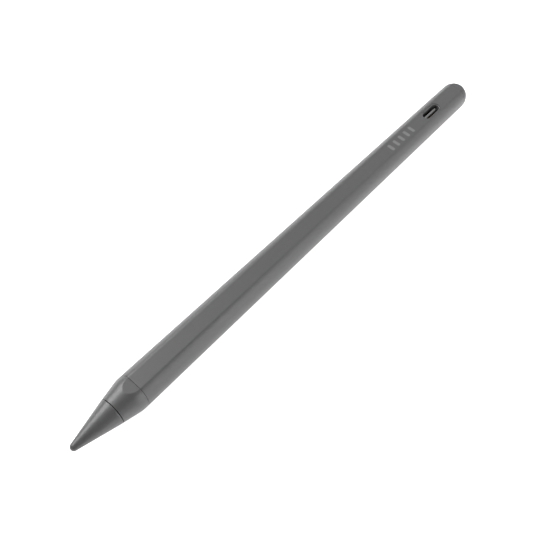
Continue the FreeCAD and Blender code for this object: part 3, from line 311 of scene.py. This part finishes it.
def arc_points(centre_x, centre_r, radius, start, end, steps):
    """Return x and radius pairs along an arc of a profile, angles in degrees from +X."""
    pairs = []
    for number in range(steps + 1):
        angle = math.radians(start + (end - start) * number / steps)
        pairs.append((centre_x + radius * math.cos(angle), centre_r + radius * math.sin(angle)))
    return pairs


def build_nib():
    """Tapering nib with a round tip and a softened rear rim."""
    tip = 0.95 * MM
    rear = nib_high.x
    rear_radius = 3.42 * MM
    rim = SEAM_RIM
    steps = 24
    recess_radius, insert_radius, pin_radius = 1.85 * MM, 1.55 * MM, 0.41 * MM
    tip_centre = nib_low.x + tip
    taper = math.degrees(math.asin((rear_radius - tip) / math.hypot(rear_radius, rear - tip_centre)))
    profile = [(nib_low.x, 0)] + arc_points(tip_centre, 0, tip, 180, 90 + taper, 24)[1:]
    touch_x, touch_r = profile[-1]
    slope = (rear_radius - touch_r) / (rear - touch_x)
    for step in range(1, steps):
        x = touch_x + (rear - rim - touch_x) * step / steps
        profile.append((x, touch_r + slope * (x - touch_x)))
    profile += arc_points(rear - rim, rear_radius - 1.25 * rim, rim, 90, 0, 6)
    recess = 9.95 * MM + nib_low.x
    seat = 6.2 * MM + nib_low.x
    pin = 2.2 * MM + nib_low.x
    profile += [(rear, recess_radius), (recess, recess_radius), (recess, insert_radius),
                (seat, insert_radius), (seat, pin_radius), (pin, pin_radius), (pin, 0)]
    bm = bmesh.new()
    skin(bm, [ring(x, radius, ROUND_ANGLES) for x, radius in profile])
    add_piece("nib_shell", bm, "nib", "nib", "nib_plastic")


def runout_height(x, seam):
    """Height of the nose's flat above the axis, which rises a little towards the front."""
    return FLAT + RUNOUT_SLOPE * max(0.0, seam - x)


def build_nose():
    """Conical nose, with the flat running out on the cone, and the spigot behind it."""
    front = nose_low.x
    seam = barrel_low.x - 0.06 * MM
    cone_end = seam - 1.56 * MM
    front_radius = 3.44 * MM
    rim = SEAM_RIM
    angles = section_angles(OUTER_BREAKS, *END_COUNTS)
    bore = 2.9 * MM
    seat = 2.6 * MM
    mouth = 1.9 * MM
    seat_x = front + 1.09 * MM
    bore_x = front + 5.67 * MM
    rings = [ring(front, mouth, angles)]
    for x, radius in arc_points(front + rim, front_radius - rim, rim, 180, 95, 6):
        rings.append(ring(x, radius, angles, FLAT))
    slope = (RADIUS - front_radius) / (cone_end - front)
    steps = 90
    blend_length = 0.9 * MM
    for step in range(1, steps + 1):
        x = front + rim + (seam - rim - front - rim) * step / steps
        straight = front_radius + slope * (x - front)
        gap = RADIUS - straight
        soft = slope * blend_length
        mix = min(1.0, max(0.0, 0.5 + 0.5 * gap / soft))
        radius = RADIUS * (1 - mix) + straight * mix - soft * mix * (1 - mix)
        rings.append(ring(x, radius, angles, runout_height(x, seam), RUNOUT_BLEND))
    for x, drop in arc_points(seam - rim, -rim, rim, 80, 0, 6):
        rings.append(ring(x, RADIUS + drop, angles, FLAT + drop, RUNOUT_BLEND))
    rings.append(ring(seam, SPIGOT_RADIUS, angles, SPIGOT_FLAT))
    rings.append(ring(nose_high.x, SPIGOT_RADIUS, angles, SPIGOT_FLAT))
    rings.append(ring(nose_high.x, bore, angles))
    rings.append(ring(bore_x, bore, angles))
    rings.append(ring(bore_x, seat, angles))
    rings.append(ring(seat_x, seat, angles))
    rings.append(ring(seat_x, mouth, angles))
    bm = bmesh.new()
    skin(bm, rings, closed=True)
    add_piece("nose_shell", bm, "pen", "nose_cone", "nose_plastic")


def build_cap():
    """Domed cap: the flat runs out on the dome, and a spigot goes inside the barrel."""
    angles = section_angles(OUTER_BREAKS, *END_COUNTS)
    front = barrel_high.x + 0.03 * MM
    dome_x = cap_high.x - RADIUS
    rim = 0.02 * MM
    bore = 3.2 * MM
    rings = [ring(cap_low.x, bore, angles), ring(cap_low.x, SPIGOT_RADIUS, angles, SPIGOT_FLAT),
             ring(front, SPIGOT_RADIUS, angles, SPIGOT_FLAT)]
    for x, drop in arc_points(front + rim, -rim, rim, 180, 90, 4):
        rings.append(ring(x, RADIUS + drop, angles, FLAT + drop))
    for step in range(1, 4):
        rings.append(ring(front + rim + (dome_x - front - rim) * step / 4, RADIUS, angles, FLAT))
    for x, radius in arc_points(dome_x, 0, RADIUS, 90, 0, 72):
        rings.append(ring(x, radius, angles, FLAT))
    bm = bmesh.new()
    skin(bm, rings)
    inner = [ring(cap_low.x, bore, angles)]
    for x, radius in arc_points(dome_x, 0, bore, 90, 0, 24):
        inner.append(ring(x, radius, angles))
    skin(bm, inner)
    bmesh.ops.remove_doubles(bm, verts=bm.verts, dist=AT_AXIS)
    add_piece("cap_shell", bm, "pen", "end_cap", "cap_plastic")


# Barrel

def slot_loop(half_length, half_width, z, end_steps=28, side_steps=12):
    """Return a loop with round ends round the port, at a height."""
    reach = half_length - half_width
    loop = []
    for start, centre in ((-90, PORT_X + reach), (90, PORT_X - reach)):
        for angle in spread(start, start + 180, end_steps):
            turn = math.radians(angle)
            loop.append(Vector((centre + half_width * math.cos(turn), half_width * math.sin(turn), z)))
        side = 1 if start == -90 else -1
        for share in spread(0, 1, side_steps):
            loop.append(Vector((centre - side * 2 * reach * share, side * half_width, z)))
    return loop


def fill_between(bm, border, hole):
    """Fill the level patch between an outer border and a hole with triangles."""
    edges = []
    for loop in (border, hole):
        for vertex, following in zip(loop, loop[1:] + loop[:1]):
            edge = bm.edges.get((vertex, following))
            edges.append(edge if edge else bm.edges.new((vertex, following)))
    bmesh.ops.triangle_fill(bm, use_beauty=True, edges=edges, normal=(0, 0, 1))


def build_barrel():
    """Tube with its flat, softened edges and the port's slot."""
    outer_angles = section_angles(OUTER_BREAKS, *BARREL_COUNTS)
    inner_angles = section_angles(INNER_BREAKS, *BARREL_COUNTS)
    flat_steps = BARREL_COUNTS[0]
    front, rear = barrel_low.x, barrel_high.x
    window_reach = 5.4 * MM
    window = (PORT_X - window_reach, PORT_X + window_reach)
    front_steps, window_steps, rear_steps = 40, 24, 8
    inner_front_steps, inner_rear_steps = 12, 4
    front_rim = SEAM_RIM
    rear_rim = 0.015 * MM

    stations = spread(front + front_rim, window[0], front_steps) + spread(*window, window_steps)
    stations += spread(window[1], rear - rear_rim, rear_steps) + [rear - rear_rim]
    rings = []
    for x, drop in arc_points(front + front_rim, -front_rim, front_rim, 180, 100, 5):
        rings.append(ring(x, RADIUS + drop, outer_angles, FLAT + drop))
    window_row = len(rings) + front_steps
    for x in stations:
        rings.append(ring(x, RADIUS, outer_angles, FLAT))
    for x, drop in arc_points(rear - rear_rim, -rear_rim, rear_rim, 80, 0, 4):
        rings.append(ring(x, RADIUS + drop, outer_angles, FLAT + drop))
    inner_window_row = len(rings) + 1 + inner_rear_steps
    inner_stations = [rear] + spread(rear - 1 * MM, window[1], inner_rear_steps)
    inner_stations += spread(window[1], window[0], window_steps)
    inner_stations += spread(window[0], front, inner_front_steps) + [front]
    for x in inner_stations:
        rings.append(ring(x, BORE_RADIUS, inner_angles, BORE_FLAT, INNER_BLEND))

    def in_window(row, column):
        """Say whether a face lies in the patch that is filled round the port."""
        rows = (window_row, inner_window_row)
        return column < flat_steps and any(start <= row < start + window_steps for start in rows)

    bm = bmesh.new()
    rows = skin(bm, rings, closed=True, skip=in_window)

    def window_border(start):
        """Return the vertices round that patch, in order."""
        block = rows[start:start + window_steps + 1]
        border = block[0][:flat_steps + 1]
        border += [row[flat_steps] for row in block[1:]]
        border += list(reversed(block[-1][:flat_steps]))
        border += [row[0] for row in reversed(block[1:-1])]
        return border

    half_length, half_width = 4.5 * MM, 1.6 * MM
    lip = 0.04 * MM
    top = AXIS_Z + FLAT
    loops = []
    for step in range(7):
        turn = math.radians(90 * step / 6)
        outward = lip * (1 - math.sin(turn))
        depth = lip * (1 - math.cos(turn))
        loops.append(slot_loop(half_length + outward, half_width + outward, top - depth))
    loops.append(slot_loop(half_length, half_width, AXIS_Z + BORE_FLAT))
    slot_rows = skin(bm, loops)
    fill_between(bm, window_border(window_row), slot_rows[0])
    fill_between(bm, window_border(inner_window_row), slot_rows[-1])
    add_piece("barrel_shell", bm, "pen", "barrel", "barrel_metal")


# Port

def build_port_shell():
    """Drawn steel shell with a rolled lip."""
    bottom, top = shell_low.z, shell_high.z
    half_length = (shell_high.x - shell_low.x) / 2
    half_width = (shell_high.y - shell_low.y) / 2
    wall = 0.3 * MM
    lip = wall / 2
    loops = [slot_loop(half_length, half_width, bottom)]
    for step in range(9):
        turn = math.radians(180 * step / 8)
        inset = lip * (1 - math.cos(turn))
        loops.append(slot_loop(half_length - inset, half_width - inset, top - lip + lip * math.sin(turn)))
    loops.append(slot_loop(half_length - wall, half_width - wall, bottom))
    bm = bmesh.new()
    skin(bm, loops, closed=True)
    add_piece("port_shell", bm, "pen", "usb_shell", "port_steel")


def rounded_rectangle(centre_x, half_x, half_y, corner, z, steps=5):
    """Return a loop with rounded corners, at a height."""
    loop = []
    for start, side_x, side_y in ((0, 1, 1), (90, -1, 1), (180, -1, -1), (270, 1, -1)):
        for step in range(steps + 1):
            turn = math.radians(start + 90 * step / steps)
            loop.append(Vector((centre_x + side_x * (half_x - corner) + corner * math.cos(turn),
                                side_y * (half_y - corner) + corner * math.sin(turn), z)))
    return loop


def build_port_tongue():
    """Moulded tongue with a softened end, on its foot."""
    bottom, top = tongue_low.z, tongue_high.z
    foot_top = AXIS_Z - 1.2 * MM
    half_x, half_y = 3.345 * MM, 0.35 * MM
    corner = 0.12 * MM
    end = 0.15 * MM
    foot_x = (tongue_high.x - tongue_low.x) / 2
    foot_y = (tongue_high.y - tongue_low.y) / 2
    almost_round = 0.99
    foot_corner = foot_y * almost_round
    loops = [rounded_rectangle(PORT_X, foot_x, foot_y, foot_corner, bottom),
             rounded_rectangle(PORT_X, foot_x, foot_y, foot_corner, foot_top - end)]
    for step in range(1, 4):
        turn = math.radians(90 * step / 3)
        inset, rise = end * (1 - math.cos(turn)), end * math.sin(turn)
        loops.append(rounded_rectangle(PORT_X, foot_x - inset, foot_y - inset,
                                       (foot_y - inset) * almost_round, foot_top - end + rise))
    loops.append(rounded_rectangle(PORT_X, half_x, half_y, corner, foot_top))
    loops.append(rounded_rectangle(PORT_X, half_x, half_y, corner, top - end))
    for step in range(1, 5):
        turn = math.radians(90 * step / 4)
        inset, rise = end * (1 - math.cos(turn)), end * math.sin(turn)
        loops.append(rounded_rectangle(PORT_X, half_x - inset, half_y - inset, corner, top - end + rise))
    bm = bmesh.new()
    rows = skin(bm, loops)
    bm.faces.new(rows[-1])
    bm.faces.new(list(reversed(rows[0])))
    add_piece("port_tongue", bm, "pen", "usb_tongue", "port_plastic")


# Threaded shaft

def thread_depth(x, angle, pitch, depth):
    """Depth below the crest of a right-hand thread, at a place along and round the stud."""
    phase = (x / pitch - angle / (2 * math.pi)) % 1.0
    return depth * min(1.0, 1.2 * abs(2 * phase - 1))


def build_shaft():
    """Turned shaft with its thread, shoulder and groove."""
    angles = [math.radians(angle) for angle in spread(0, 360, 64)]
    tip_x = shaft_low.x
    origin = nib_low.x
    pitch, depth = 0.4 * MM, 0.22 * MM
    stud = 1.0 * MM
    chamfer = 0.2 * MM
    run_start, run_end = tip_x + 0.25 * MM, origin + 10.3 * MM
    rings = [ring(tip_x, 0, angles), ring(tip_x, stud - chamfer, angles)]
    steps, fading_steps = 120, 8
    for step in range(steps + 1):
        x = run_start + (run_end - run_start) * step / steps
        fade = min(1.0, step / fading_steps, (steps - step) / fading_steps)
        points = []
        for angle in angles:
            reach = stud - thread_depth(x, angle, pitch, depth) * fade
            points.append(axis_point(x, reach, angle))
        rings.append(points)
    turned = ((10.7, 1.0), (10.7, 1.62), (10.78, 1.7), (11.82, 1.7), (11.9, 1.62), (11.9, 1.25),
              (16.98, 1.25), (16.98, 0.95), (17.32, 0.95), (17.32, 1.25), (22.2, 1.25), (22.5, 0.95),
              (22.5, 0))
    for x, radius in turned:
        rings.append(ring(origin + x * MM, radius * MM, angles))
    bm = bmesh.new()
    skin(bm, rings)
    add_piece("threaded_shaft", bm, "shaft", "force_shaft", "shaft_steel")


# Thrust pad

def build_pad():
    """Silicone pad behind the shaft, with rounded rims, on a mesh of its own; in the pen the nib squeezes
    it.
    """
    front, rear = pad_low.x, pad_high.x
    radius = (pad_high.y - pad_low.y) / 2
    rim = 0.1 * MM
    profile = [(front, 0)] + arc_points(front + rim, radius - rim, rim, 180, 90, 5)
    profile += arc_points(rear - rim, radius - rim, rim, 90, 0, 5) + [(rear, 0)]
    bm = bmesh.new()
    skin(bm, [ring(x, reach, ROUND_ANGLES) for x, reach in profile])
    pad = add_piece("silicone_pad", bm, "pen", "thrust_pad", "silicone")
    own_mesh(pad)


# Marks

def build_marks():
    """Row of plain rounded bars printed on the flat."""
    thickness, sunk = 0.012 * MM, 0.002 * MM
    length, width, corner = 1.2 * MM, 2.4 * MM, 0.4 * MM
    first, pitch = nib_low.x + 120.4 * MM, 2.9 * MM
    flat_z = AXIS_Z + FLAT
    bm = bmesh.new()
    for number in range(5):
        middle = first + number * pitch
        loops = [rounded_rectangle(middle, length / 2, width / 2, corner, z, steps=6)
                 for z in (flat_z - sunk, flat_z + thickness)]
        made = skin(bm, loops)
        bm.faces.new(made[1])
        bm.faces.new(list(reversed(made[0])))
    piece = finish_mesh("flat_marks", bm)
    piece.data.materials.append(MATERIALS["mark_ink"])
    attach(piece, "pen")


# Stage

# The camera: its place in metres, its angles in degrees, its lens and sensor in millimetres
CAMERA_PLACE = (-0.09693, -0.04313, 0.13042)
CAMERA_AZIMUTH = 299.46
CAMERA_ELEVATION = 54.87
CAMERA_ROLL = 12.70
CAMERA_LENS = 40.55
CAMERA_SENSOR = 36
NEAREST_SEEN = 5 * MM


def build_camera():
    """Camera close to the nib's end, looking down the pen."""
    data = bpy.data.cameras.new("camera")
    data.lens = CAMERA_LENS
    data.sensor_width = CAMERA_SENSOR
    data.clip_start = NEAREST_SEEN
    camera = bpy.data.objects.new("camera", data)
    bpy.context.scene.collection.objects.link(camera)
    azimuth, elevation = math.radians(CAMERA_AZIMUTH), math.radians(CAMERA_ELEVATION)
    forward = Vector((-math.sin(azimuth) * math.cos(elevation), math.cos(azimuth) * math.cos(elevation),
                      -math.sin(elevation)))
    turn = forward.to_track_quat("-Z", "Y").to_matrix().to_4x4()
    roll = Matrix.Rotation(math.radians(CAMERA_ROLL), 4, "Z")
    camera.matrix_world = Matrix.Translation(CAMERA_PLACE) @ turn @ roll
    bpy.context.scene.camera = camera


def build_floor():
    """Plain white floor, lit from within like a light table."""
    bm = bmesh.new()
    bmesh.ops.create_grid(bm, x_segments=8, y_segments=8, size=1.5)
    floor = finish_mesh("floor", bm)
    material, _, shader = new_material("floor_white")
    shader.inputs["Base Color"].default_value = (0.85, 0.85, 0.85, 1)
    shader.inputs["Roughness"].default_value = 0.9
    shader.inputs["Specular IOR Level"].default_value = 0.1
    shader.inputs["Emission Color"].default_value = (1, 1, 1, 1)
    shader.inputs["Emission Strength"].default_value = 0.95
    floor.data.materials.append(material)


SOFTBOX_DISTANCE = 0.8


def add_softbox(name, azimuth, elevation, size, power):
    """Square area light on a dome round the pen, aimed at its middle: degrees, metres and watts."""
    data = bpy.data.lights.new(name, "AREA")
    data.shape = "SQUARE"
    data.size = size
    data.energy = power
    light = bpy.data.objects.new(name, data)
    turn, rise = math.radians(azimuth), math.radians(elevation)
    away = Vector((math.cos(turn) * math.cos(rise), math.sin(turn) * math.cos(rise), math.sin(rise)))
    light.location = away * SOFTBOX_DISTANCE
    light.rotation_euler = (-away).to_track_quat("-Z", "Y").to_euler()
    bpy.context.scene.collection.objects.link(light)


def build_lights():
    """Key and edge lights from the left, two fills from the right, one above, one past the far end.

    The white backdrop is only seen, and lights nothing.
    """
    world = bpy.data.worlds.new("white_backdrop")
    bpy.context.scene.world = world
    world.use_nodes = True
    background = world.node_tree.nodes["Background"]
    background.inputs["Color"].default_value = (1, 1, 1, 1)
    background.inputs["Strength"].default_value = 1.0
    world.cycles_visibility.diffuse = False
    world.cycles_visibility.glossy = False
    add_softbox("key_light", azimuth=105, elevation=40, size=0.5, power=6)
    add_softbox("edge_light", azimuth=70, elevation=32, size=0.4, power=1.5)
    add_softbox("top_light", azimuth=90, elevation=70, size=0.6, power=2)
    add_softbox("end_light", azimuth=10, elevation=40, size=0.6, power=1)
    add_softbox("fill_light", azimuth=-80, elevation=20, size=0.6, power=3.2)
    add_softbox("far_fill_light", azimuth=-45, elevation=25, size=0.6, power=1.8)
    bpy.context.scene.view_settings.view_transform = "Standard"


dress_cad_nodes()
build_nib()
build_nose()
build_barrel()
build_cap()
build_port_shell()
build_port_tongue()
build_shaft()
build_pad()
build_marks()
build_camera()
build_floor()
build_lights()
